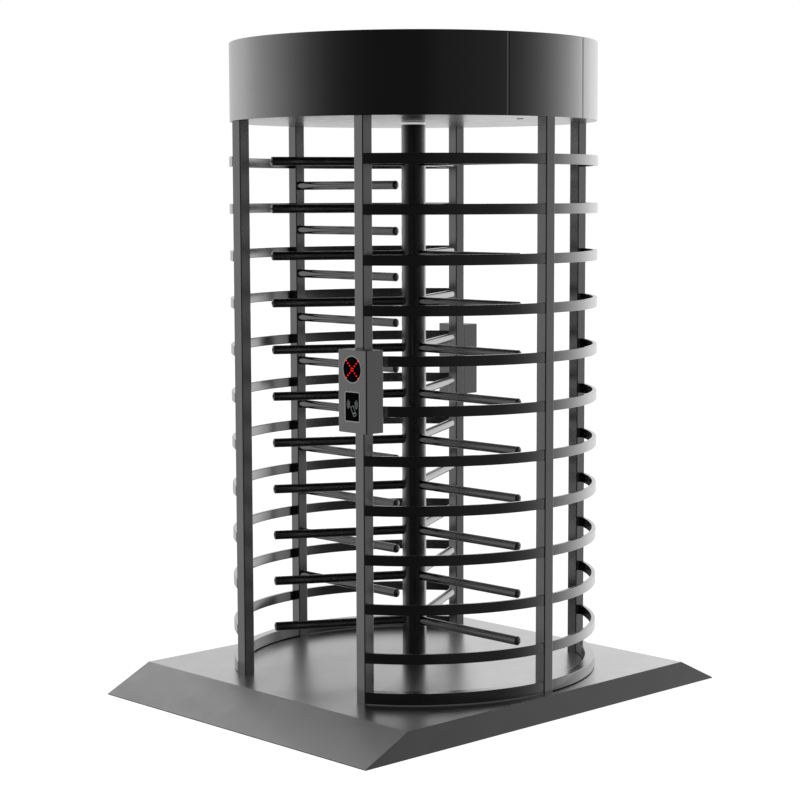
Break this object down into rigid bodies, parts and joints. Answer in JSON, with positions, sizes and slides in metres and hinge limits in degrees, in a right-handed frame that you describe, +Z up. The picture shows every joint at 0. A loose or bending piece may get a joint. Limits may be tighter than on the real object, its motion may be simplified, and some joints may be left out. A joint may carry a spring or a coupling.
{
  "type": "full height turnstile",
  "caption": "Full height turnstile: a three-wing bar rotor turning between two curved barred cages and a comb, on a ramped base under a round canopy with a service door.",
  "frame": {"origin": "centre of the base's footprint on the floor", "axes": "+Z up; -Y is the entry side and +Y the exit side, each with a ramp; the service door in the canopy faces +X"},
  "size_m": [1.468, 1.884, 2.4925],
  "materials": {
    "frame_coat": "satin graphite powder coat",
    "rotor_coat": "satin dark graphite powder coat",
    "canopy_coat": "semi-gloss near-black powder coat",
    "deck_coat": "glossy light grey enamel",
    "bright_steel": "brushed",
    "zinc_steel": "zinc plated",
    "reader_glass": "gloss black window",
    "case_plastic": "fine matte"
  },
  "bodies": {
    "frame": {"base_platform": "frame_coat", "post_entry_right": "frame_coat", "post_exit_right": "frame_coat", "post_side_right": "frame_coat", "post_exit_left": "frame_coat", "post_entry_left": "frame_coat", "comb_post": "frame_coat", "rail_right_01": "frame_coat", "rail_right_02": "frame_coat", "rail_right_03": "frame_coat", "rail_right_04": "frame_coat", "rail_right_05": "frame_coat", "rail_right_06": "frame_coat", "rail_right_07": "frame_coat", "rail_right_08": "frame_coat", "rail_right_09": "frame_coat", "rail_right_10": "frame_coat", "rail_right_11": "frame_coat", "rail_left_01": "frame_coat", "rail_left_02": "frame_coat", "rail_left_03": "frame_coat", "rail_left_04": "frame_coat", "rail_left_05": "frame_coat", "rail_left_06": "frame_coat", "rail_left_07": "frame_coat", "rail_left_08": "frame_coat", "rail_left_09": "frame_coat", "rail_left_10": "frame_coat", "rail_left_11": "frame_coat", "kick_rail_right": "frame_coat", "kick_rail_left": "frame_coat", "canopy_shell": "canopy_coat", "canopy_deck": "deck_coat", "top_bearing": "bright_steel", "foot_bearing": "zinc_steel", "lock_unit": "zinc_steel", "damper_body": "zinc_steel", "reader_casing_entry": "case_plastic", "reader_casing_exit": "case_plastic", "control_box": "case_plastic", "reader_module_entry": "reader_glass", "reader_module_exit": "reader_glass"},
    "rotor": {"rotor_column": "rotor_coat", "arm_star_01": "rotor_coat", "arm_star_02": "rotor_coat", "arm_star_03": "rotor_coat", "arm_star_04": "rotor_coat", "arm_star_05": "rotor_coat", "arm_star_06": "rotor_coat", "arm_star_07": "rotor_coat", "arm_star_08": "rotor_coat", "arm_star_09": "rotor_coat", "arm_star_10": "rotor_coat", "arm_star_11": "rotor_coat", "index_wheel": "zinc_steel"},
    "service_door": {"service_door": "canopy_coat"},
    "door_lock": {"door_lock": "bright_steel"},
    "lock_bolt_entry": {"lock_bolt_entry": "bright_steel"},
    "lock_bolt_exit": {"lock_bolt_exit": "bright_steel"},
    "damper_pinion": {"damper_pinion": "bright_steel"}
  },
  "joints": [
    {"name": "rotor_spin", "type": "hinge", "parent": "frame", "child": "rotor", "pos_m": [0, 0, 0], "axis": [0, 0, 1], "continuous": true},
    {"name": "damper_pinion_spin", "type": "hinge", "parent": "frame", "child": "damper_pinion", "pos_m": [0, 0.15, 2.202], "axis": [0, 0, 1], "continuous": true},
    {"name": "lock_bolt_entry_slide", "type": "slide", "parent": "frame", "child": "lock_bolt_entry", "axis": [1, 0, 0], "range_m": [0, 0.014], "stiffness_N_per_m": 100},
    {"name": "lock_bolt_exit_slide", "type": "slide", "parent": "frame", "child": "lock_bolt_exit", "axis": [1, 0, 0], "range_m": [0, 0.014], "stiffness_N_per_m": 100},
    {"name": "service_door_hinge", "type": "hinge", "parent": "frame", "child": "service_door", "pos_m": [0.67174, -0.18218, 2.342], "axis": [0, 0, -1], "range_deg": [0, 100]},
    {"name": "door_lock_turn", "type": "hinge", "parent": "frame", "child": "door_lock", "pos_m": [0.489, 0.0715, 2.202], "axis": [0, 0, -1], "range_deg": [0, 90]}
  ],
  "couplings": [
    {"joint": "damper_pinion_spin", "follows": "rotor_spin", "ratio": -4}
  ]
}
